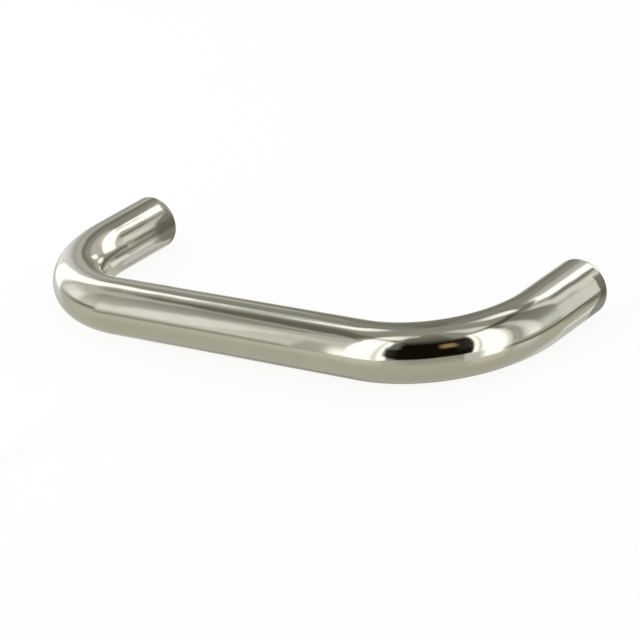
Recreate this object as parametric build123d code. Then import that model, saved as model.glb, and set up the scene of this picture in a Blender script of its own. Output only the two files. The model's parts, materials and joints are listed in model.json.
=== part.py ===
"""Wire pull handle for a drawer or a cabinet door.

One solid round rod is bent twice in one plane, which gives a straight grip between two legs. Each leg is cut
square where it meets the drawer front, with its rim rounded over and a tapped blind hole on its axis for the
fixing screw.

The origin lies on the mounting face, midway between the two screw holes. X runs along the grip, -Y points
out towards the hand, and +Z is up, as on a drawer front. All sizes are in millimetres and degrees.
"""

from build123d import *

import os
from math import radians, tan

# Rod and its two bends
ROD_DIAMETER = 8.0
HOLE_CENTRES = 76.2
PROJECTION = 31.75
INSIDE_BEND_RADIUS = 12.7

# Rounded rim of each leg
RIM_RADIUS = 1.0

# Screw holes, tapped for a number 8-32 machine screw
TAP_DRILL_DIAMETER = 3.45
HOLE_DEPTH = 12.0
DRILL_POINT_ANGLE = 118.0
COUNTERSINK_DIAMETER = 4.4
COUNTERSINK_ANGLE = 90.0

# Values that follow from the sizes above
ROD_RADIUS = ROD_DIAMETER / 2
LEG_X = HOLE_CENTRES / 2
GRIP_Y = -(PROJECTION - ROD_RADIUS)
BEND_RADIUS = INSIDE_BEND_RADIUS + ROD_RADIUS


def bent_rod() -> Part:
    """The rod swept along the middle line of both legs, both bends and the grip."""
    middle_line = FilletPolyline(
        (-LEG_X, 0),
        (-LEG_X, GRIP_Y),
        (LEG_X, GRIP_Y),
        (LEG_X, 0),
        radius=BEND_RADIUS,
    )
    section = Plane(origin=middle_line @ 0, z_dir=middle_line % 0) * Circle(ROD_RADIUS)
    return sweep(section, path=middle_line)


def leg_rims(rod: Part) -> ShapeList[Edge]:
    """The outer edge of each square-cut leg end, on the mounting face."""
    return rod.edges().filter_by(GeomType.CIRCLE).group_by(Axis.Y)[-1]


def screw_hole() -> Part:
    """The space that the drill and the countersink take out of a leg, with its mouth at the origin."""
    drill_radius = TAP_DRILL_DIAMETER / 2
    mouth_radius = COUNTERSINK_DIAMETER / 2
    countersink_depth = (mouth_radius - drill_radius) / tan(radians(COUNTERSINK_ANGLE / 2))
    point_depth = drill_radius / tan(radians(DRILL_POINT_ANGLE / 2))
    half_section = make_face(
        Polyline(
            (0, 0),
            (mouth_radius, 0),
            (drill_radius, -countersink_depth),
            (drill_radius, -HOLE_DEPTH),
            (0, -HOLE_DEPTH - point_depth),
            close=True,
        )
    )
    return revolve(half_section, axis=Axis.Y)


def handle() -> Part:
    """The finished handle: the bent rod with its rims rounded and both legs drilled."""
    rod = bent_rod()
    rod = fillet(leg_rims(rod), radius=RIM_RADIUS)
    return rod - Locations((-LEG_X, 0), (LEG_X, 0)) * screw_hole()


os.makedirs("parts", exist_ok=True)
export_step(handle(), "parts/handle.step")
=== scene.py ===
"""Looks of a wire pull handle: one bent rod of mirror-polished nickel plate, lying in a small light tent.

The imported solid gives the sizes: the rod, the hole centres, the projection and the screw holes. Geometry
nodes sweep the rod again with a finer surface and close each leg with a turned foot, which has a rounded
rim, a faced ring and a tapped hole. A mirror finish shows nothing but what stands round it, so the tent is
built card by card.
"""

import json
import logging
import math
from dataclasses import dataclass, field
from enum import Enum
from typing import Any

import bmesh
import bpy
from bpy.types import Material, Mesh, NodeSocket, NodeTree as Tree, Object
from mathutils import Matrix, Vector


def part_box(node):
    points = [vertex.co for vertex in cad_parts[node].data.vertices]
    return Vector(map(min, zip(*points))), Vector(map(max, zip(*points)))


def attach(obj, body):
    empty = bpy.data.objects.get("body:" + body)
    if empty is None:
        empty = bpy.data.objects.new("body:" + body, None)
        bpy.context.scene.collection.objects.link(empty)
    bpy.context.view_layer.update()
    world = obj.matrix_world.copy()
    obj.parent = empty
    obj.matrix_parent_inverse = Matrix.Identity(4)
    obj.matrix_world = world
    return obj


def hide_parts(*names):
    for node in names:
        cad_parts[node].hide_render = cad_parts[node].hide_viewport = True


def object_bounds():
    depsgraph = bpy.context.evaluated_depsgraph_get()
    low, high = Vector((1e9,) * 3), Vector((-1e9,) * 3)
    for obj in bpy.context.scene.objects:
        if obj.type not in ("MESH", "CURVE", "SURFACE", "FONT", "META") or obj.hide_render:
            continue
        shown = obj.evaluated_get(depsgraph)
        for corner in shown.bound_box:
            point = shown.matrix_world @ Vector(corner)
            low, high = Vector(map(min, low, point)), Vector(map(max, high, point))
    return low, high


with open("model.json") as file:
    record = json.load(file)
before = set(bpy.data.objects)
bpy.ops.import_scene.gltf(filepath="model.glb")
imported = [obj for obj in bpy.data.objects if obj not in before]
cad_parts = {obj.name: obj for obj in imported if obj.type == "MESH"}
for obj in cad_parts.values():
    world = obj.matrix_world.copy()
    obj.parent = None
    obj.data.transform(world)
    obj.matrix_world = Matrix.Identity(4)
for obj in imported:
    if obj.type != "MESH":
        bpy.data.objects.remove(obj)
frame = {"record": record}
CAD_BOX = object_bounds()

MM = 0.001
UP = (0.0, 0.0, 1.0)
BODY = "root"
NODE = "handle"
log = logging.getLogger("wire_pull_handle")

Pair = tuple[float, float]
# What feeds a node's input: another node's output or a plain value.
Feed = NodeSocket | float | tuple[float, ...]
Span = tuple[Feed, Feed]
UNIT = (0.0, 1.0)
# The kind of tree input that takes each type of value.
KINDS = {int: "Int", float: "Float", Object: "Object", Material: "Material"}


def linear(code: str) -> tuple[float, float, float, float]:
    """Turns an sRGB hex code into a linear colour.

    Args:
        code: Six hex digits after a hash sign.

    Returns:
        Red, green, blue and an alpha of 1.
    """
    parts = [int(code[i : i + 2], 16) / 255 for i in (1, 3, 5)]
    red, green, blue = (p / 12.92 if p <= 0.04045 else ((p + 0.055) / 1.055) ** 2.4 for p in parts)
    return red, green, blue, 1.0


def add_node(tree: Tree, kind: str, inputs: dict[str | int, Any] | None = None, **settings: Any) -> Any:
    """Adds a node with its settings and links.

    Args:
        tree: The tree that takes the node.
        kind: Blender's identifier for the node.
        inputs: For an input's name or place, the output that feeds it or its plain value.
        settings: Properties of the node itself.

    Returns:
        The new node.
    """
    node = tree.nodes.new(kind)
    for name, value in settings.items():
        setattr(node, name, value)
    for key, value in (inputs or {}).items():
        if isinstance(value, NodeSocket):
            tree.links.new(value, node.inputs[key])
        else:
            node.inputs[key].default_value = value
    return node


def add_math(tree: Tree, operation: str, *values: Feed) -> Feed:
    """Adds one arithmetic node and gives its result."""
    return add_node(tree, "ShaderNodeMath", dict(enumerate(values)), operation=operation).outputs[0]


def add_vectors(tree: Tree, operation: str, *values: Feed) -> Feed:
    """Adds one vector node and gives its result, which is a number for a length or a dot product."""
    node = add_node(tree, "ShaderNodeVectorMath", dict(enumerate(values)), operation=operation)
    return node.outputs["Value" if operation in ("LENGTH", "DOT_PRODUCT") else "Vector"]


def add_range(tree: Tree, value: Feed, to: Span = UNIT, source: Span = UNIT, smooth: bool = False) -> Feed:
    """Maps a value from one span to another, where it is clamped.

    Args:
        tree: The tree that takes the node.
        value: The value to map.
        to: What the start and the end of the span become.
        source: The span that is mapped.
        smooth: Whether the change eases in and out.

    Returns:
        The mapped value.
    """
    limits = {"From Min": source[0], "From Max": source[1], "To Min": to[0], "To Max": to[1]}
    easing = "SMOOTHSTEP" if smooth else "LINEAR"
    node = add_node(tree, "ShaderNodeMapRange", {"Value": value, **limits}, interpolation_type=easing)
    return node.outputs["Result"]


def add_noise(tree: Tree, place: Feed, size: float, detail: float = 2.0, roughness: float = 0.5) -> Feed:
    """Adds soft, random patches, whose size is in the place's own unit."""
    inputs = {"Vector": place, "Scale": 1 / size, "Detail": detail, "Roughness": roughness}
    return add_node(tree, "ShaderNodeTexNoise", inputs).outputs["Fac"]


def add_bump(tree: Tree, height: Feed, depth: float, strength: float = 1.0, **under: Feed) -> Feed:
    """Tilts the surface by a height times a depth in metres, on top of the Normal under it."""
    inputs = {"Height": height, "Strength": strength, "Distance": depth, **under}
    return add_node(tree, "ShaderNodeBump", inputs).outputs["Normal"]


def add_colour(tree: Tree, share: Feed, first: Feed, second: Feed) -> Feed:
    """Mixes two colours by the share of the second one."""
    inputs = {"Factor": share, "A": first, "B": second}
    return add_node(tree, "ShaderNodeMix", inputs, data_type="RGBA").outputs["Result"]


def add_blend(tree: Tree, share: Feed, first: Feed, second: Feed) -> Feed:
    """Blends two shaders by the share of the second one."""
    return add_node(tree, "ShaderNodeMixShader", {0: share, 1: first, 2: second}).outputs["Shader"]


def add_metal(tree: Tree, output: Any, looks: dict[str, Feed]) -> None:
    """Ends a material's tree with bare metal of the given looks."""
    metal = add_node(tree, "ShaderNodeBsdfPrincipled", {"Metallic": 1.0, **looks})
    tree.links.new(metal.outputs["BSDF"], output.inputs["Surface"])


def add_reading(tree: Tree, name: str, kind: str = "FLOAT") -> Feed:
    """Reads an attribute of the geometry."""
    return add_node(tree, "GeometryNodeInputNamedAttribute", {"Name": name}, data_type=kind).outputs[0]


def add_attribute(tree: Tree, geometry: Feed, name: str, value: Feed, kind: str = "FLOAT") -> Feed:
    """Stores a value of the given kind at each point of the geometry."""
    inputs = {"Geometry": geometry, "Name": name, "Value": value}
    return add_node(tree, "GeometryNodeStoreNamedAttribute", inputs, data_type=kind).outputs["Geometry"]


def add_sample(tree: Tree, geometry: Feed, index: Feed, value: Feed, kind: str = "FLOAT") -> Feed:
    """Reads a value of the given kind at one point of another geometry."""
    inputs = {"Geometry": geometry, "Value": value, "Index": index}
    return add_node(tree, "GeometryNodeSampleIndex", inputs, data_type=kind).outputs["Value"]


def add_test(tree: Tree, operation: str, value: Feed, limit: Feed) -> Feed:
    """Compares a value with a limit."""
    return add_node(tree, "FunctionNodeCompare", {0: value, 1: limit}, operation=operation).outputs[0]


def new_material(name: str) -> tuple[Material, Tree, Any]:
    """Makes a material with an empty tree.

    Args:
        name: The material's name.

    Returns:
        The material, its tree and its output node.
    """
    material = bpy.data.materials.new(name)
    material.use_nodes = True
    material.node_tree.nodes.clear()
    return material, material.node_tree, add_node(material.node_tree, "ShaderNodeOutputMaterial")


def new_object(name: str, mesh: Mesh) -> Object:
    """Puts a mesh into the scene as an object at the origin.

    Args:
        name: The object's name.
        mesh: Its mesh.

    Returns:
        The new object.
    """
    made = bpy.data.objects.new(name, mesh)
    bpy.context.scene.collection.objects.link(made)
    return made


def new_tree(name: str, values: dict[str, Any]) -> tuple[Tree, Any, Any]:
    """Starts a geometry-node tree with a geometry input and output and one named input for each value.

    Args:
        name: The tree's name.
        values: The values that it will be given, by name.

    Returns:
        The tree, the values given to it and its output node.
    """
    tree = bpy.data.node_groups.new(name, "GeometryNodeTree")
    tree.interface.new_socket("Geometry", in_out="INPUT", socket_type="NodeSocketGeometry")
    tree.interface.new_socket("Geometry", in_out="OUTPUT", socket_type="NodeSocketGeometry")
    for label, value in values.items():
        tree.interface.new_socket(label, in_out="INPUT", socket_type=f"NodeSocket{KINDS[type(value)]}")
    return tree, add_node(tree, "NodeGroupInput").outputs, add_node(tree, "NodeGroupOutput")


def attach_tree(target: Object, tree: Tree, values: dict[str, Any]) -> None:
    """Adds a geometry-node modifier and sets its inputs by their identifiers.

    Args:
        target: The object that holds the tree's starting mesh.
        tree: The tree to run on it.
        values: A value for each named input.
    """
    modifier = target.modifiers.new(tree.name, "NODES")
    modifier.node_group = tree
    for item in tree.interface.items_tree:
        if item.in_out == "INPUT" and item.name in values:
            modifier[item.identifier] = values[item.name]


def plain_mesh(source: Object, name: str) -> Mesh:
    """Reads an object's evaluated shape as a plain mesh and takes its modifiers off.

    Args:
        source: The object with the modifiers.
        name: The new mesh's name.

    Returns:
        The plain mesh.
    """
    depsgraph = bpy.context.evaluated_depsgraph_get()
    mesh = bpy.data.meshes.new_from_object(
        source.evaluated_get(depsgraph), preserve_all_data_layers=True, depsgraph=depsgraph
    )
    mesh.name = name
    source.modifiers.clear()
    return mesh


class Surface(Enum):
    """The surfaces of the handle, by the name of the tree input that carries each one's material."""

    POLISHED = "Polished"
    FACED = "Faced"
    TAPPED = "Tapped"


@dataclass(frozen=True)
class PolishedNickel:
    """Bright nickel plate on a belt-polished and buffed rod."""

    pale: str = "#D4D2C0"
    deep: str = "#CAC8B4"
    roughness: Pair = (0.05, 0.09)
    cloud_mm: float = 6.0
    # Each leg ends in a rougher ring whose darker colour is painted shade: it stands in for the shade
    # that the leg ends mirror. The left leg's ring is widest and softest at the sides of the leg, and the
    # right leg's is crisp and widest underneath. Both are gone at the top, where the ends mirror bright
    # light. Each pair is for the left leg and the right leg.
    ring_middle_mm: Pair = (0.1, 1.2)
    ring_reach_mm: Pair = (2.1, 2.5)
    ring_width_mm: Pair = (7.0, 2.4)
    ring_width_away_mm: Pair = (1.9, 4.8)
    ring_edge_mm: Pair = (3.0, 0.5)
    ring_edge_away_mm: Pair = (0.6, 0.5)
    ring_top_mm: Pair = (3.6, 2.6)
    # How late the ring turns from its width at the middle to its width away from there.
    ring_power: float = 4.0
    ring_top_edge_mm: float = 0.3
    ring_wander_mm: float = 0.8
    ring_wander_size_mm: float = 1.2
    # The ring's colour is painted shade, darker than the buffed plate.
    ring_shade_colour: str = "#848270"
    ring_roughness: float = 0.3
    line_length_mm: float = 14.0
    # Real belt lines are a few hundredths of a millimetre wide, so they are drawn coarser in order to show.
    line_width_mm: float = 0.18
    line_depth_mm: float = 0.0004
    line_detail_roughness: float = 0.6
    # The lines' own values between which the haze rises.
    haze_span: Pair = (0.35, 0.75)
    # Buffing leaves the rod a little wavy, which bends the edges of what it mirrors.
    wave_mm: float = 7.0
    wave_depth_mm: float = 0.1
    wave_detail: float = 1.0

    def material(self) -> Material:
        """Builds the material, whose belt lines run along the rod.

        Returns:
            The polished nickel material.
        """
        # It gives the eye a warm, crisp mirror with only a trace of haze, and a rougher ring at each end
        # whose darker colour is painted shade.
        material, tree, output = new_material("polished_nickel_plate")
        place = add_node(tree, "ShaderNodeTexCoord").outputs["Object"]
        along = add_node(tree, "ShaderNodeAttribute", attribute_name=BentRod.SPACE).outputs["Vector"]
        clouds = add_noise(tree, place, self.cloud_mm * MM)
        across = 1 / (self.line_width_mm * MM)
        stretched = add_vectors(tree, "MULTIPLY", along, (1 / (self.line_length_mm * MM), across, across))
        lines = add_noise(tree, stretched, 1.0, roughness=self.line_detail_roughness)
        waves = add_noise(tree, place, self.wave_mm * MM, self.wave_detail)
        wavy = add_bump(tree, waves, self.wave_depth_mm * MM)
        ring = self.add_rough_shaded_ring(tree, place)
        buffed = add_colour(tree, clouds, linear(self.pale), linear(self.deep))
        haze = add_range(tree, lines, self.roughness, self.haze_span)
        looks = {
            # The ring's darker colour is painted shade at the leg ends.
            "Base Color": add_colour(tree, ring, buffed, linear(self.ring_shade_colour)),
            "Roughness": add_range(tree, ring, (haze, self.ring_roughness)),
            "Normal": add_bump(tree, lines, self.line_depth_mm * MM, Normal=wavy),
        }
        add_metal(tree, output, looks)
        return material

    def add_rough_shaded_ring(self, tree: Tree, place: Feed) -> Feed:
        """Adds the mask of the rougher rings of painted shade, from each leg's end to its own uneven edge.

        Args:
            tree: The material's tree.
            place: The output that holds the place on the handle.

        Returns:
            The output that is 1 on the rings and 0 elsewhere.
        """
        split = add_node(tree, "ShaderNodeSeparateXYZ", {"Vector": place}).outputs
        side = add_math(tree, "GREATER_THAN", split["X"], 0.0)
        pairs = (
            self.ring_middle_mm,
            self.ring_reach_mm,
            self.ring_width_mm,
            self.ring_width_away_mm,
            self.ring_edge_mm,
            self.ring_edge_away_mm,
            self.ring_top_mm,
        )
        middle, reach, width, width_away, edge, edge_away, top = [
            add_range(tree, side, (left * MM, right * MM)) for left, right in pairs
        ]
        share = add_math(tree, "DIVIDE", add_math(tree, "SUBTRACT", split["Z"], middle), reach)
        away = add_math(tree, "POWER", share, self.ring_power)
        inside = add_math(tree, "ADD", add_range(tree, away, (width, width_away)), split["Y"])
        wander = add_noise(tree, place, self.ring_wander_size_mm * MM)
        shift = add_range(tree, wander, (-self.ring_wander_mm * MM, self.ring_wander_mm * MM))
        softness = add_range(tree, away, (edge, edge_away))
        # The ring mask darkens the colour as painted shade and raises the roughness.
        rough_and_shaded = add_range(tree, add_math(tree, "ADD", inside, shift), source=(0.0, softness), smooth=True)
        below = add_math(tree, "SUBTRACT", top, split["Z"])
        under_top = add_range(tree, below, source=(0.0, self.ring_top_edge_mm * MM))
        return add_math(tree, "MULTIPLY", rough_and_shaded, under_top)


@dataclass(frozen=True)
class FacedNickel:
    """The ring that bears on the drawer, faced in a lathe before it was plated."""

    colour: str = "#C3BDAB"
    roughness: Pair = (0.2, 0.34)
    patch_mm: float = 1.5
    patch_detail: float = 3.0
    # The tool's feed is about 0.05 mm a turn, drawn three times as coarse in order to show.
    ring_pitch_mm: float = 0.15
    ring_depth_mm: float = 0.004
    ring_strength: float = 0.6

    def material(self, leg_x: float) -> Material:
        """Builds the material, with circles about both legs' axes.

        Args:
            leg_x: Distance of each leg's axis from the handle's middle, in metres.

        Returns:
            The faced nickel material.
        """
        # It gives the eye a satin ring with fine turned circles.
        material, tree, output = new_material("faced_nickel_plate")
        place = add_node(tree, "ShaderNodeTexCoord").outputs["Object"]
        folded = add_vectors(tree, "ABSOLUTE", place)
        centred = add_vectors(tree, "SUBTRACT", folded, (leg_x, 0.0, 0.0))
        radius = add_vectors(tree, "LENGTH", add_vectors(tree, "MULTIPLY", centred, (1.0, 0.0, 1.0)))
        turn = add_math(tree, "MULTIPLY", radius, math.tau / (self.ring_pitch_mm * MM))
        rings = add_math(tree, "SINE", turn)
        patches = add_noise(tree, place, self.patch_mm * MM, self.patch_detail)
        looks = {
            "Base Color": linear(self.colour),
            "Roughness": add_range(tree, patches, self.roughness),
            "Normal": add_bump(tree, rings, self.ring_depth_mm * MM, self.ring_strength),
        }
        add_metal(tree, output, looks)
        return material


@dataclass(frozen=True)
class TappedSteel:
    """The cut thread: steel under the thin plate that reaches into a hole."""

    bright: str = "#A8A293"
    dark: str = "#6E695E"
    roughness: Pair = (0.3, 0.48)
    patch_mm: float = 0.8
    patch_detail: float = 4.0

    def material(self) -> Material:
        """Builds the material of the screw holes.

        Returns:
            The tapped steel material.
        """
        # It gives the eye a bare, grey and uneven metal.
        material, tree, output = new_material("tapped_steel_thread")
        place = add_node(tree, "ShaderNodeTexCoord").outputs["Object"]
        patches = add_noise(tree, place, self.patch_mm * MM, self.patch_detail)
        looks = {
            "Base Color": add_colour(tree, patches, linear(self.bright), linear(self.dark)),
            "Roughness": add_range(tree, patches, self.roughness),
        }
        add_metal(tree, output, looks)
        return material


@dataclass
class SectionCorner:
    """One corner of a foot's half section."""

    radius: float
    depth: float
    rounding: float = 0.0
    cuts: int = 0
    crisp: bool = False
    threaded: bool = False


@dataclass
class LegFoot:
    """The end of a leg, turned about its axis: rounded rim, faced ring, countersink and tapped hole."""

    rod_radius: float
    drill_radius: float
    wall_length: float
    rim_radius: float = 1.0 * MM
    countersink_radius: float = 2.2 * MM
    point_angle: float = 118.0
    thread_pitch: float = 25.4 / 32 * MM
    thread_radius: float = 4.17 / 2 * MM
    thread_angle: float = 60.0
    # Half of the flat at the thread's root, as a share of the pitch.
    root_flat: float = 1 / 16
    runout_pitches: float = 2.0
    rows_per_pitch: int = 12
    cone_cuts: int = 2
    rim_steps: int = 16
    segments: int = 128

    @property
    def countersink_depth(self) -> float:
        """Depth of the 90 degree countersink."""
        return self.countersink_radius - self.drill_radius

    @property
    def hole_depth(self) -> float:
        """Depth of the drilled hole from the mounting face to the start of its point."""
        return self.countersink_depth + self.wall_length

    @property
    def thread_depth(self) -> float:
        """Depth of the thread's groove."""
        return self.thread_radius - self.drill_radius

    @property
    def flank_width(self) -> float:
        """Width of one flank, as a share of the pitch."""
        return self.thread_depth * math.tan(math.radians(self.thread_angle / 2)) / self.thread_pitch

    def corners(self) -> list[SectionCorner]:
        """Lists the half section from the rim's start to the tip of the drill point.

        Returns:
            The corners, each with its rounding and the cuts in the run that follows it.
        """
        tip = self.drill_radius / math.tan(math.radians(self.point_angle / 2))
        rows = round(self.wall_length / self.thread_pitch * self.rows_per_pitch)
        on_wall = {"crisp": True, "threaded": True}
        return [
            SectionCorner(self.rod_radius, self.rim_radius),
            SectionCorner(self.rod_radius, 0.0, rounding=self.rim_radius),
            SectionCorner(self.countersink_radius, 0.0, cuts=self.cone_cuts, crisp=True),
            SectionCorner(self.drill_radius, self.countersink_depth, cuts=rows, **on_wall),
            SectionCorner(self.drill_radius, self.hole_depth, cuts=self.cone_cuts, **on_wall),
            SectionCorner(0.0, self.hole_depth + tip),
        ]

    def section_mesh(self) -> Mesh:
        """Draws the half section, with radius along X and the leg's axis along Y.

        Returns:
            A mesh of corners and runs that carries each corner's values as attributes.
        """
        corners = self.corners()
        runs = [(i, i + 1) for i in range(len(corners) - 1)]
        mesh = bpy.data.meshes.new("foot_section")
        mesh.from_pydata([(c.radius, -c.depth, 0.0) for c in corners], runs, [])
        kinds = {"rounding": "FLOAT", "cuts": "INT", "crisp": "FLOAT", "threaded": "FLOAT"}
        for name, kind in kinds.items():
            values = mesh.attributes.new(name, kind, "POINT")
            for item, corner in zip(values.data, corners):
                item.value = getattr(corner, name)
        return mesh

    def tree(self, values: dict[str, Any]) -> Tree:
        """Builds the tree that turns the half section about Y and cuts a right-hand thread into the bore.

        Args:
            values: The values that the tree will be given.

        Returns:
            The geometry-node tree.
        """
        tree, given, out = new_tree("turned_foot", values)
        line = add_node(tree, "GeometryNodeMeshToCurve", {"Mesh": given["Geometry"]}).outputs["Curve"]
        rim = {"Curve": line, "Count": given["Rim Steps"], "Radius": add_reading(tree, "rounding")}
        rounded = add_node(tree, "GeometryNodeFilletCurve", rim, mode="POLY").outputs["Curve"]
        cuts = {"Curve": rounded, "Cuts": add_reading(tree, "cuts", "INT")}
        section = add_node(tree, "GeometryNodeSubdivideCurve", cuts).outputs["Curve"]
        rows = add_node(tree, "GeometryNodeAttributeDomainSize", {"Geometry": section}, component="CURVE")
        columns = add_math(tree, "ADD", given["Segments"], 1.0)
        counts = {"Vertices X": rows.outputs["Point Count"], "Vertices Y": columns}
        sheet = add_node(tree, "GeometryNodeMeshGrid", counts).outputs["Mesh"]
        index = add_node(tree, "GeometryNodeInputIndex").outputs["Index"]
        row = add_math(tree, "FLOOR", add_math(tree, "DIVIDE", index, columns))
        turns = add_math(tree, "DIVIDE", add_math(tree, "MODULO", index, columns), given["Segments"])
        position = add_node(tree, "GeometryNodeInputPosition").outputs["Position"]
        spot = add_sample(tree, section, row, position, "FLOAT_VECTOR")
        split = add_node(tree, "ShaderNodeSeparateXYZ", {"Vector": spot}).outputs
        on_wall = add_sample(tree, section, row, add_reading(tree, "threaded"))
        cut = self.add_thread(tree, given, turns, split["Y"], on_wall)
        reach = add_math(tree, "ADD", split["X"], cut)
        angle = add_math(tree, "MULTIPLY", turns, math.tau)
        turned = {
            "X": add_math(tree, "MULTIPLY", reach, add_math(tree, "COSINE", angle)),
            "Y": split["Y"],
            "Z": add_math(tree, "MULTIPLY", reach, add_math(tree, "SINE", angle)),
        }
        place = add_node(tree, "ShaderNodeCombineXYZ", turned).outputs["Vector"]
        shaped = add_node(tree, "GeometryNodeSetPosition", {"Geometry": sheet, "Position": place})
        crisp = add_sample(tree, section, row, add_reading(tree, "crisp"))
        marked = add_attribute(tree, shaped.outputs["Geometry"], "crisp", crisp)
        tree.links.new(marked, out.inputs["Geometry"])
        return tree

    def add_thread(self, tree: Tree, given: Any, turns: Feed, height: Feed, on_wall: Feed) -> Feed:
        """Adds the depth of the thread's groove, which fades in and out over one pitch.

        Args:
            tree: The foot's tree.
            given: The values given to the tree.
            turns: How far round the axis a vertex lies, in turns.
            height: The vertex's place along the axis.
            on_wall: 1 on the drilled wall and 0 elsewhere.

        Returns:
            How far the vertex moves outwards.
        """
        start, end, pitch = given["Thread Start"], given["Thread End"], given["Pitch"]
        depth = add_math(tree, "MULTIPLY", height, -1.0)
        phase = add_math(tree, "SUBTRACT", turns, add_math(tree, "DIVIDE", depth, pitch))
        half_turn = 0.5
        from_root = add_math(tree, "PINGPONG", phase, half_turn)
        flank = (self.root_flat, self.root_flat + self.flank_width)
        groove = add_range(tree, from_root, (1.0, 0.0), flank)
        lead_in = add_range(tree, depth, UNIT, (start, add_math(tree, "ADD", start, pitch)))
        lead_out = add_range(tree, depth, (1.0, 0.0), (add_math(tree, "SUBTRACT", end, pitch), end))
        cut = given["Thread Depth"]
        for share in (groove, on_wall, lead_in, lead_out):
            cut = add_math(tree, "MULTIPLY", cut, share)
        return cut

    def build(self) -> Object:
        """Makes the foot's object, still with its tree, for the rod to place on both legs.

        Returns:
            The object, whose mounting face lies at Y = 0.
        """
        foot = new_object("turned_foot", self.section_mesh())
        values = {
            "Segments": self.segments,
            "Rim Steps": self.rim_steps,
            "Pitch": self.thread_pitch,
            "Thread Depth": self.thread_depth,
            "Thread Start": self.countersink_depth,
            "Thread End": self.hole_depth - self.runout_pitches * self.thread_pitch,
        }
        attach_tree(foot, self.tree(values), values)
        return foot


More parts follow.
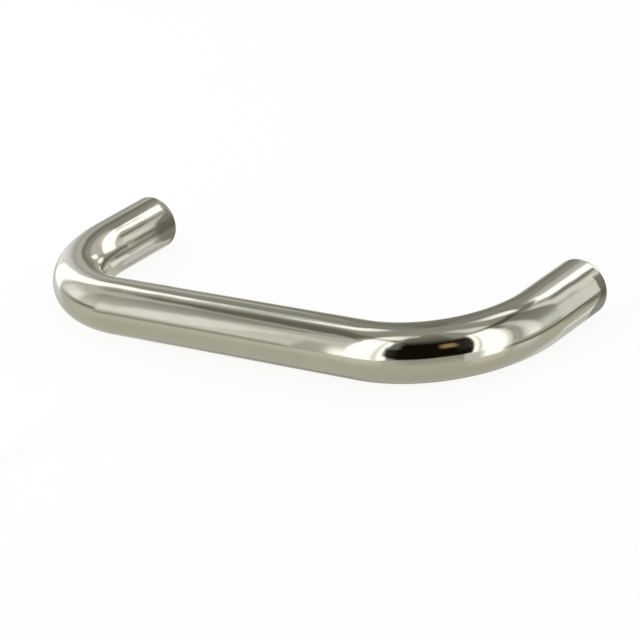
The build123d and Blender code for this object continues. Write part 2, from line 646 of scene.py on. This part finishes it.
@dataclass
class BentRod:
    """The whole handle: one rod swept through two bends, with a turned foot on each leg."""

    rod_radius: float
    hole_centres: float
    projection: float
    foot: LegFoot
    inside_bend_radius: float = 12.7 * MM
    bend_steps: int = 72
    segments: int = 128
    weld: float = 0.001 * MM
    space_step: float = 0.5 * MM
    crisp_limit: float = 0.99
    SPACE = "rod_space"

    @classmethod
    def from_frame(cls) -> "BentRod":
        """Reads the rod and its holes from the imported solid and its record.

        Returns:
            The handle at its real size.
        """
        low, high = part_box(NODE)
        mounts = {mount["name"]: mount["dims"] for mount in frame["record"]["mounts"]}
        # Rounding to 0.01 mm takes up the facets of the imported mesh.
        rod_radius = round((high.z - low.z) / 2 / MM, 2) * MM
        hole = mounts["left_screw_hole"]
        foot = LegFoot(rod_radius, hole["r_mm"] * MM, hole["length_mm"] * MM)
        return cls(rod_radius, mounts["screw_holes"]["spacing_x_mm"] * MM, high.y - low.y, foot)

    @property
    def leg_x(self) -> float:
        """Distance of each leg's axis from the handle's middle."""
        return self.hole_centres / 2

    def route_mesh(self) -> Mesh:
        """Draws the middle line's four corners, from the start of one rim to the start of the other.

        Returns:
            A mesh of corners and straight runs.
        """
        grip_y = -(self.projection - self.rod_radius)
        leg_y = -self.foot.rim_radius
        corners = [(-self.leg_x, leg_y), (-self.leg_x, grip_y), (self.leg_x, grip_y), (self.leg_x, leg_y)]
        mesh = bpy.data.meshes.new("rod_route")
        mesh.from_pydata([(x, y, 0.0) for x, y in corners], [(0, 1), (1, 2), (2, 3)], [])
        return mesh

    def tree(self, values: dict[str, Any]) -> Tree:
        """Builds the tree that rounds the route, sweeps the rod, places both feet and gives out materials.

        Args:
            values: The values that the tree will be given.

        Returns:
            The geometry-node tree.
        """
        tree, given, out = new_tree("bent_rod", values)
        line = add_node(tree, "GeometryNodeMeshToCurve", {"Mesh": given["Geometry"]}).outputs["Curve"]
        bends = {"Curve": line, "Count": given["Bend Steps"], "Radius": given["Bend Radius"]}
        bent = add_node(tree, "GeometryNodeFilletCurve", bends, mode="POLY").outputs["Curve"]
        spine = add_node(tree, "GeometryNodeSetCurveNormal", {"Curve": bent}, mode="Z_UP").outputs["Curve"]
        circle = {"Resolution": given["Segments"], "Radius": given["Rod Radius"]}
        ring = add_node(tree, "GeometryNodeCurvePrimitiveCircle", circle, mode="RADIUS").outputs["Curve"]
        rod = add_node(tree, "GeometryNodeCurveToMesh", {"Curve": spine, "Profile Curve": ring})
        ends = add_node(tree, "GeometryNodeCurveEndpointSelection", {"Start Size": 1, "End Size": 1})
        shape = add_node(tree, "GeometryNodeObjectInfo", {"Object": given["Foot"]}).outputs["Geometry"]
        places = {"Points": line, "Selection": ends.outputs["Selection"], "Instance": shape}
        feet = add_node(tree, "GeometryNodeInstanceOnPoints", places).outputs["Instances"]
        to_face = add_node(tree, "ShaderNodeCombineXYZ", {"Y": given["Rim Radius"]}).outputs["Vector"]
        move = {"Instances": feet, "Translation": to_face, "Local Space": False}
        seated = add_node(tree, "GeometryNodeTranslateInstances", move)
        joined = add_node(tree, "GeometryNodeJoinGeometry")
        tree.links.new(rod.outputs["Mesh"], joined.inputs["Geometry"])
        tree.links.new(seated.outputs["Instances"], joined.inputs["Geometry"])
        real = add_node(tree, "GeometryNodeRealizeInstances", {"Geometry": joined.outputs["Geometry"]})
        seams = {"Geometry": real.outputs["Geometry"], "Distance": self.weld}
        welded = add_node(tree, "GeometryNodeMergeByDistance", seams).outputs["Geometry"]
        spaced = self.add_space(tree, welded, spine)
        edged = self.add_edges(tree, spaced)
        self.add_materials(tree, edged, given, out)
        return tree

    def add_space(self, tree: Tree, mesh: Feed, line: Feed) -> Feed:
        """Stores each vertex's place along and across the rod, which the polishing lines follow.

        Args:
            tree: The rod's tree.
            mesh: The output that holds the welded mesh.
            line: The output that holds the rounded middle line.

        Returns:
            The output with the stored attribute.
        """
        length = add_node(tree, "GeometryNodeSplineParameter").outputs["Length"]
        steps = {"Curve": add_attribute(tree, line, "run_length", length), "Length": self.space_step}
        stations = add_node(tree, "GeometryNodeCurveToPoints", steps, mode="LENGTH").outputs
        points = stations["Points"]
        position = add_node(tree, "GeometryNodeInputPosition").outputs["Position"]
        search = add_node(tree, "GeometryNodeSampleNearest", {"Geometry": points}, domain="POINT")
        nearest = search.outputs["Index"]
        station = add_sample(tree, points, nearest, position, "FLOAT_VECTOR")
        forward = add_sample(tree, points, nearest, stations["Tangent"], "FLOAT_VECTOR")
        run = add_sample(tree, points, nearest, add_reading(tree, "run_length"))
        offset = add_vectors(tree, "SUBTRACT", position, station)
        sideways = add_vectors(tree, "CROSS_PRODUCT", forward, UP)
        place = {
            "X": add_math(tree, "ADD", run, add_vectors(tree, "DOT_PRODUCT", offset, forward)),
            "Y": add_vectors(tree, "DOT_PRODUCT", offset, sideways),
            "Z": add_vectors(tree, "DOT_PRODUCT", offset, UP),
        }
        space = add_node(tree, "ShaderNodeCombineXYZ", place).outputs["Vector"]
        return add_attribute(tree, mesh, self.SPACE, space, "FLOAT_VECTOR")

    def add_edges(self, tree: Tree, mesh: Feed) -> Feed:
        """Shades the surface smooth, apart from the machined edges of the feet.

        Args:
            tree: The rod's tree.
            mesh: The output that holds the mesh.

        Returns:
            The output with its shading set.
        """
        sharp = add_test(tree, "GREATER_THAN", add_reading(tree, "crisp"), self.crisp_limit)
        faces = {"Geometry": mesh, "Shade Smooth": True}
        smooth = add_node(tree, "GeometryNodeSetShadeSmooth", faces, domain="FACE").outputs["Geometry"]
        edges = {"Geometry": smooth, "Selection": sharp, "Shade Smooth": False}
        return add_node(tree, "GeometryNodeSetShadeSmooth", edges, domain="EDGE").outputs["Geometry"]

    def add_materials(self, tree: Tree, mesh: Feed, given: Any, out: Any) -> None:
        """Gives the rod, the faced rings and the screw holes their materials and ends the tree.

        Args:
            tree: The rod's tree.
            mesh: The output that holds the mesh.
            given: The values given to the tree.
            out: The tree's output node.
        """
        position = add_node(tree, "GeometryNodeInputPosition").outputs["Position"]
        split = add_node(tree, "ShaderNodeSeparateXYZ", {"Vector": position}).outputs
        off_axis = add_math(tree, "SUBTRACT", add_math(tree, "ABSOLUTE", split["X"]), given["Leg X"])
        across = add_node(tree, "ShaderNodeCombineXYZ", {"X": off_axis, "Z": split["Z"]}).outputs["Vector"]
        radius = add_vectors(tree, "LENGTH", across)
        depth = add_math(tree, "MULTIPLY", split["Y"], -1.0)
        in_mouth = add_test(tree, "LESS_THAN", radius, given["Mouth Radius"])
        in_reach = add_test(tree, "LESS_THAN", depth, given["Hole Reach"])
        in_bore = add_node(tree, "FunctionNodeBooleanMath", {0: in_mouth, 1: in_reach}, operation="AND")
        choices = {
            Surface.POLISHED: True,
            Surface.TAPPED: in_bore.outputs["Boolean"],
            Surface.FACED: add_test(tree, "LESS_THAN", depth, self.weld),
        }
        for surface, selection in choices.items():
            inputs = {"Geometry": mesh, "Selection": selection, "Material": given[surface.value]}
            mesh = add_node(tree, "GeometryNodeSetMaterial", inputs).outputs["Geometry"]
        tree.links.new(mesh, out.inputs["Geometry"])

    def build(self) -> Object:
        """Sweeps the rod, turns its feet, welds them into one closed mesh and puts it in the solid's place.

        Returns:
            The finished piece.
        """
        foot = self.foot.build()
        rod = new_object("bent_rod", self.route_mesh())
        values = {
            "Bend Radius": self.inside_bend_radius + self.rod_radius,
            "Bend Steps": self.bend_steps,
            "Rod Radius": self.rod_radius,
            "Segments": self.segments,
            "Rim Radius": self.foot.rim_radius,
            "Leg X": self.leg_x,
            "Mouth Radius": self.foot.countersink_radius,
            "Hole Reach": self.foot.hole_depth + self.foot.countersink_radius,
            "Foot": foot,
            Surface.POLISHED.value: PolishedNickel().material(),
            Surface.FACED.value: FacedNickel().material(self.leg_x),
            Surface.TAPPED.value: TappedSteel().material(),
        }
        attach_tree(rod, self.tree(values), values)
        route = rod.data
        rod.data = plain_mesh(rod, "bent_rod")
        bpy.data.meshes.remove(route)
        section = foot.data
        bpy.data.objects.remove(foot)
        bpy.data.meshes.remove(section)
        self.turn_outwards(rod.data)
        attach(rod, BODY)
        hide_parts(NODE)
        return rod

    @staticmethod
    def turn_outwards(mesh: Mesh) -> None:
        """Turns all faces of the welded mesh outwards.

        Args:
            mesh: The mesh to change.
        """
        work = bmesh.new()
        work.from_mesh(mesh)
        bmesh.ops.recalc_face_normals(work, faces=work.faces[:])
        work.to_mesh(mesh)
        work.free()


class Tint(Enum):
    """The light of the tent's cards: day, plain, warm from the sheet and its folds, and a lamp's."""

    DAY = "#F6F7FF"
    PLAIN = "#FFFFFF"
    SHEET = "#FFFEF8"
    FOLD = "#FFFDF1"
    LAMP = "#FFD9A8"


@dataclass
class Card:
    """One soft-edged card of the tent, given by the directions in which the handle sees it, in degrees.

    Azimuth 0 is straight out from the drawer front and 90 is along +X. Levels are for the bottom and the
    top edge, and soft edges for left, right, bottom and top. Lean moves the top edge along, and climb lifts
    the right edge. Reach is its distance as a share of the tent's radius.
    """

    name: str
    azimuth: Pair
    elevation: Pair
    levels: Pair
    soft: tuple[float, float, float, float] = (0.0, 0.0, 0.0, 0.0)
    tint: Tint = Tint.PLAIN
    lean: float = 0.0
    climb: float = 0.0
    reach: float = 1.0

    @property
    def spans(self) -> Pair:
        """Width and height of the card."""
        return self.azimuth[1] - self.azimuth[0], self.elevation[1] - self.elevation[0]

    def build(self, centre: Vector, radius: float, step: float = 5.0, least: int = 2) -> Object:
        """Makes the card as a patch of a sphere round the handle.

        Args:
            centre: The middle of the tent.
            radius: The card's distance from there.
            step: Size of one face, in degrees.
            least: The fewest faces across and upward.

        Returns:
            The card's object.
        """
        width, height = self.spans
        across, upward = (max(least, math.ceil(span / step)) for span in self.spans)
        corners, places = [], []
        for j in range(upward + 1):
            for i in range(across + 1):
                u, v = i / across, j / upward
                azimuth = self.azimuth[0] + u * width + v * self.lean
                elevation = self.elevation[0] + v * height + u * self.climb
                corners.append(centre + self.reach * radius * direction(azimuth, elevation))
                places.append((u, v))
        row = across + 1
        faces = [
            (j * row + i, j * row + i + 1, (j + 1) * row + i + 1, (j + 1) * row + i)
            for j in range(upward)
            for i in range(across)
        ]
        mesh = bpy.data.meshes.new(self.name)
        mesh.from_pydata(corners, [], faces)
        layer = mesh.uv_layers.new(name="card")
        for loop, place in zip(mesh.loops, layer.data):
            place.uv = places[loop.vertex_index]
        mesh.materials.append(self.material())
        card = new_object(self.name, mesh)
        card.visible_camera = False
        return card

    def material(self) -> Material:
        """Builds the card's even light, which fades out towards its soft edges.

        Returns:
            The card's material.
        """
        # It gives the eye a soft patch of light or shade in the mirror.
        material, tree, output = new_material(self.name)
        # The cards are wide and even, so they are found well enough by the surfaces that mirror them.
        material.cycles.emission_sampling = "NONE"
        place = add_node(tree, "ShaderNodeUVMap", uv_map="card").outputs["UV"]
        split = add_node(tree, "ShaderNodeSeparateXYZ", {"Vector": place}).outputs
        glow = {"Color": linear(self.tint.value), "Strength": add_range(tree, split["Y"], self.levels)}
        light = add_node(tree, "ShaderNodeEmission", glow).outputs["Emission"]
        shown = 1.0
        for side, softness in enumerate(self.soft):
            if not softness:
                continue
            share = softness / self.spans[side // 2]
            edge = (0.0, share) if side % 2 == 0 else (1.0, 1.0 - share)
            fade = add_range(tree, split[side // 2], source=edge, smooth=True)
            shown = add_math(tree, "MULTIPLY", shown, fade)
        clear = add_node(tree, "ShaderNodeBsdfTransparent").outputs["BSDF"]
        tree.links.new(add_blend(tree, shown, clear, light), output.inputs["Surface"])
        return material


def direction(azimuth: float, elevation: float) -> Vector:
    """Gives the unit vector towards an azimuth and an elevation in degrees."""
    turn, rise = math.radians(azimuth), math.radians(elevation)
    return Vector((math.sin(turn) * math.cos(rise), -math.cos(turn) * math.cos(rise), math.sin(rise)))


def tent_cards() -> list[Card]:
    """Lists the tent's cards from the outermost to the innermost.

    Returns:
        The cards.
    """
    around = (-180.0, 180.0)
    day, sheet, fold, lamp = Tint.DAY, Tint.SHEET, Tint.FOLD, Tint.LAMP
    return [
        Card("tent_wall", around, (-14, 66), (0.45, 0.40), reach=3.2),
        Card("tent_floor", around, (-90, 0), (0.53, 0.63), (0, 0, 0, 5), sheet, reach=3.1),
        Card("tent_roof", around, (60, 90), (0.37, 0.42), (0, 0, 6, 0), sheet, reach=3.1),
        Card("back_left_wall", (-182, -118), (-4, 63), (0.42, 0.30), (6, 8, 4, 5), reach=2.69),
        Card("back_left_fold", (-149, -137), (-2, 60), (0.28, 0.22), (5, 4, 4, 5), fold, reach=2.68),
        Card("back_left_blob", (-142, -127), (10, 29), (0.58, 0.58), (4, 6, 6, 6), reach=2.67),
        Card("back_left_patch", (-180, -147), (4, 48), (0.64, 0.66), (8, 8, 5, 10), lean=-11, reach=2.66),
        Card("back_left_strip", (-164, -150), (3, 14), (1.6, 1.6), (4, 4, 4, 4), reach=2.65),
        Card("back_lamp_hem", (181, 194), (20, 48), (0.90, 0.82), (3, 8, 6, 5), reach=2.645),
        Card("back_lamp", (151, 186), (2, 51), (2.0, 2.0), (9, 5, 8, 5), day, reach=2.64),
        Card("back_lamp_top", (173, 185), (43, 51), (1.5, 0.8), (4, 4, 3, 5), day),
        Card("back_light", (150, 194), (54, 72), (1.7, 1.3), (10, 22, 3, 8), day),
        Card("back_foot", (137.5, 202), (-26, 4), (0.50, 0.38), (2, 8, 6, 5)),
        Card("back_foot_seam", (137.5, 206), (-4, 5), (0.22, 0.20), (2, 4, 3, 3), fold, climb=-7.5),
        Card("back_floor_seam", (136, 176), (-25, -14), (0.28, 0.28), (3, 6, 4, 5), fold, climb=6),
        Card("back_floor_sheen", (146, 196), (-57, -37), (0.82, 0.82), (8, 10, 6, 6), day),
        Card("back_floor_glow", (146, 200), (-46, -26), (1.12, 1.15), (8, 10, 8, 6), day, climb=18),
        Card("back_wall", (137.5, 160), (3, 50), (0.98, 0.45), (2, 4, 10, 5)),
        Card("back_wall_dim", (143.5, 157), (28, 40), (0.3, 0.3), (3.5, 4, 3, 5)),
        Card("back_floor_shade", (-168, -94), (-64, -42), (0.42, 0.38), (10, 12, 8, 5), sheet),
        Card("left_wall", (-97, -33), (-1, 54), (0.74, 0.64), (3, 3, 2, 8)),
        Card("left_wall_glow", (-92, -33), (1, 35), (1.12, 1.08), (6, 4, 7, 17), day),
        Card("left_wall_bright", (-84, -62), (3, 28), (1.3, 1.3), (8, 8, 7, 12), day),
        Card("left_wall_fold", (-70, -45), (0, 50), (0.96, 0.28), (8, 5, 3, 6)),
        Card("left_wall_front", (-47, -36), (4, 38), (1.18, 1.1), (3, 3, 8, 15), day),
        Card("left_wall_hem", (-39, -31), (0, 50), (0.86, 0.76), (2, 2, 3, 8)),
        Card("left_floor_glow", (-76, -28), (-24, -2), (0.67, 0.67), (8, 8, 10, 2), sheet),
        Card("left_foot_seam", (-92, -46), (-3, 7.5), (0.24, 0.30), (32, 3, 3, 6), fold, climb=1.5),
        Card("left_wall_seam", (-100, -40), (38.5, 61), (0.18, 0.19), (18, 10, 6, 8), fold, climb=12),
        Card("window_glow", (-114, -86), (-26, -3), (0.62, 1.0), (8, 8, 10, 3), day),
        Card("window_side", (-128, -104), (-8, 32), (1.15, 0.8), (14, 4, 4, 5), day),
        Card("window_top", (-127, -97), (44, 58), (0.72, 0.72), (6, 6, 4, 4), day),
        Card("window", (-110, -88), (-7, 46), (2.0, 2.0), (5, 6, 6, 6), day, lean=-7),
        Card("window_head", (-118, -99), (26, 51), (1.75, 1.75), (5, 6, 6, 10), day),
        Card("window_light", (-134, -99), (51, 68), (1.8, 1.3), (10, 12, 3, 9), day),
        Card("right_wall", (92, 137.5), (-10, 53), (0.52, 0.24), (3, 2, 4, 3)),
        Card("right_wall_glow", (92, 137.5), (-8, 24), (0.95, 0.80), (3, 2, 6, 18), day),
        Card("right_wall_end", (128, 137.5), (-15, 20), (1.05, 1.0), (6, 1, 5, 9), day),
        Card("right_wall_band", (97, 113), (-8, 52), (1.5, 0.66), (6, 7, 5, 4), day),
        Card("right_wall_line", (92, 98), (-9, 45), (0.48, 0.50), (2, 3, 3, 6), lean=3),
        Card("right_wall_far_band", (133, 148), (9, 50), (1.12, 1.0), (6, 6, 8, 5), day),
        Card("right_wall_seam", (92, 146), (51, 61), (0.12, 0.13), (4, 8, 3, 3), fold),
        Card("right_wall_seam_end", (137, 170), (50, 57), (0.25, 0.25), (8, 6, 2.5, 2.5), fold, climb=-4),
        Card("right_floor_glow", (92, 114), (-40, -17), (0.65, 0.88), (6, 6, 12, 4), day),
        Card("right_foot_seam", (86, 140), (-20, -9), (0.22, 0.22), (6, 4, 4, 5), fold),
        Card("roof_right_band", (72, 110), (56, 84), (1.15, 0.75), (11, 14, 6, 8), day, lean=5),
        Card("roof_left_band", (-47, 8), (64, 84), (1.95, 0.85), (14, 14, 5, 8), day),
        Card("opening_top", (4, 64), (45, 86), (0.06, 0.36), (8, 12, 6, 6), fold),
        Card("roof_mid_band", (0, 28), (71, 84), (0.85, 0.75), (6, 12, 5, 6), day),
        Card("opening_floor_shade", (8, 63), (-26, 2), (0.57, 0.38), (12, 6, 12, 0), sheet, climb=-4),
        Card("opening", (2, 64.5), (-1, 58), (0.009, 0.009), (2, 2, 3, 12), lamp, climb=-3, lean=5),
        Card("opening_edge", (2.5, 15), (8, 37), (0.03, 0.03), (2, 8, 8, 5)),
        Card("opening_far_edge", (50, 65.5), (8, 44), (0.03, 0.03), (8, 2, 8, 8), lean=3),
        Card("opening_haze", (3, 16), (31, 55), (0.19, 0.19), (3, 6, 6, 6)),
        Card("opening_lamp", (40, 58), (22, 42), (0.42, 0.42), (7, 5, 8, 8), lamp),
        Card("opening_corner", (3, 14), (-5, 9), (0.4, 0.4), (1, 9, 2, 8)),
        Card("left_flap_glow", (-36, 3), (-28, 0), (0.66, 0.85), (8, 6, 10, 0), sheet),
        Card("left_flap_peak", (-36, 0), (54, 69), (2.0, 0.9), (6, 10, 0, 5), day, climb=-4),
        Card("left_flap", (-33, 2.5), (-6, 60), (2.0, 2.0), (6, 2, 5, 5), day),
        Card("left_flap_foot", (-6, 6), (-5, 13), (2.0, 2.0), (3, 3, 5, 6), day),
        Card("left_flap_head", (-6, 5.5), (38, 58), (2.0, 2.0), (3, 3, 8, 5), day),
        Card("front_foot_seam", (-51, -30.5), (-7.5, -0.5), (0.36, 0.40), (4, 2, 3, 3), fold, climb=-1),
        Card("left_flap_hem", (-7.5, -0.5), (-4, 60), (1.15, 1.2), (3, 3, 4, 4), day),
        Card("right_flap_glow", (60, 91), (-52, -20), (0.60, 0.84), (6, 5, 14, 0), sheet),
        Card("right_flap_end", (79, 90), (-14, 46), (1.25, 1.0), (4, 4, 6, 10), day, lean=7),
        Card("right_flap", (59, 85), (-26, 55), (2.0, 2.0), (2, 6, 6, 7), day, lean=10),
        Card("right_flap_corner", (57, 74), (-29, 0), (0.76, 0.86), (1, 7, 4, 6), day),
        Card("right_flap_hem", (65, 69), (-5, 50), (1.0, 1.3), (1.5, 1.5, 4, 5), day, lean=6),
        Card("near_strip", (-15.2, -8.2), (-6, 26), (0.52, 0.62), (1.2, 2.2, 2, 8), reach=0.27),
    ]


@dataclass
class Studio:
    """The light tent round the handle, its pale floor and the camera."""

    floor_z: float
    centre: Vector
    tent_radius: float = 260 * MM
    card_gap: float = 1.0 * MM
    floor_size: float = 6.0
    floor_paper: str = "#F2F2F0"
    floor_shadow: float = 0.15
    floor_white: float = 1.06

    def build_tent(self) -> None:
        """Places the cards, each a little nearer to the handle than the one before."""
        for place, card in enumerate(tent_cards()):
            made = card.build(self.centre, self.tent_radius - place * self.card_gap)
            log.info("card %s", made.name)

    def build_floor(self) -> None:
        """Lays the pale floor, which the camera sees as white with the handle's shadow on it."""
        half = self.floor_size / 2
        mesh = bpy.data.meshes.new("floor")
        spots = [(-half, -half), (half, -half), (half, half), (-half, half)]
        mesh.from_pydata([(x, y, self.floor_z) for x, y in spots], [], [(0, 1, 2, 3)])
        mesh.materials.append(self.floor_material())
        floor = new_object("floor", mesh)
        log.info("stage %s", floor.name)

    def floor_material(self) -> Material:
        """Builds the floor, which lets mirrored rays through to the tent's own floor.

        Returns:
            The floor's material.
        """
        # It gives the eye white paper with a faint shadow.
        material, tree, output = new_material("pale_paper")
        material.cycles.emission_sampling = "NONE"
        rays = add_node(tree, "ShaderNodeLightPath").outputs
        paper = add_node(tree, "ShaderNodeBsdfDiffuse", {"Color": linear(self.floor_paper)}).outputs["BSDF"]
        glow = {"Color": linear(Tint.PLAIN.value), "Strength": self.floor_white}
        white = add_node(tree, "ShaderNodeEmission", glow).outputs["Emission"]
        clear = add_node(tree, "ShaderNodeBsdfTransparent").outputs["BSDF"]
        seen = add_math(tree, "MULTIPLY", rays["Is Camera Ray"], 1 - self.floor_shadow)
        mirrored = add_math(tree, "MAXIMUM", rays["Is Glossy Ray"], rays["Is Transmission Ray"])
        floor = add_blend(tree, mirrored, add_blend(tree, seen, paper, white), clear)
        tree.links.new(floor, output.inputs["Surface"])
        return material

    @staticmethod
    def build_world() -> None:
        """Makes the world white to the camera and to mirrored rays."""
        world = bpy.data.worlds.new("white_room")
        world.use_nodes = True
        tree = world.node_tree
        tree.nodes.clear()
        rays = add_node(tree, "ShaderNodeLightPath").outputs
        level = rays["Is Camera Ray"]
        for kind in ("Is Glossy Ray", "Is Transmission Ray"):
            level = add_math(tree, "MAXIMUM", level, rays[kind])
        glow = {"Color": linear(Tint.PLAIN.value), "Strength": level}
        white = add_node(tree, "ShaderNodeBackground", glow)
        output = add_node(tree, "ShaderNodeOutputWorld")
        tree.links.new(white.outputs["Background"], output.inputs["Surface"])
        bpy.context.scene.world = world

    @staticmethod
    def build_camera() -> None:
        """Places the camera at the photograph's viewing angle, with its slight roll."""
        view = PhotoView()
        back = direction(view.azimuth, view.elevation)
        side = Vector(UP).cross(back).normalized()
        upward = back.cross(side)
        turn = Matrix.Rotation(math.radians(view.roll), 3, back)
        axes = Matrix((turn @ side, turn @ upward, back)).transposed()
        data = bpy.data.cameras.new("camera")
        data.lens = view.lens
        data.sensor_width = view.sensor
        camera = bpy.data.objects.new("camera", data)
        camera.matrix_world = Matrix.Translation(view.target + back * view.distance) @ axes.to_4x4()
        bpy.context.scene.collection.objects.link(camera)
        bpy.context.scene.camera = camera

    def build(self) -> None:
        """Builds the whole studio."""
        self.build_tent()
        self.build_floor()
        self.build_world()
        self.build_camera()
        bpy.context.scene.view_settings.view_transform = "Standard"


@dataclass(frozen=True)
class PhotoView:
    """The photograph's camera: angles in degrees, lengths in metres, lens and sensor in millimetres."""

    azimuth: float = 41.23
    elevation: float = 23.01
    roll: float = -9.08
    distance: float = 370.1 * MM
    target: Vector = field(default_factory=lambda: Vector((2.93, -13.875, -4.48)) * MM)
    lens: float = 150.2
    sensor: float = 36.0


def main() -> None:
    """Builds the handle and then the studio round it."""
    logging.basicConfig(level=logging.INFO, format="%(name)s: %(message)s")
    rod = BentRod.from_frame().build()
    log.info("piece %s, %d faces", rod.name, len(rod.data.polygons))
    low, high = CAD_BOX
    Studio(low.z, (low + high) / 2).build()


if __name__ == "__main__":
    main()
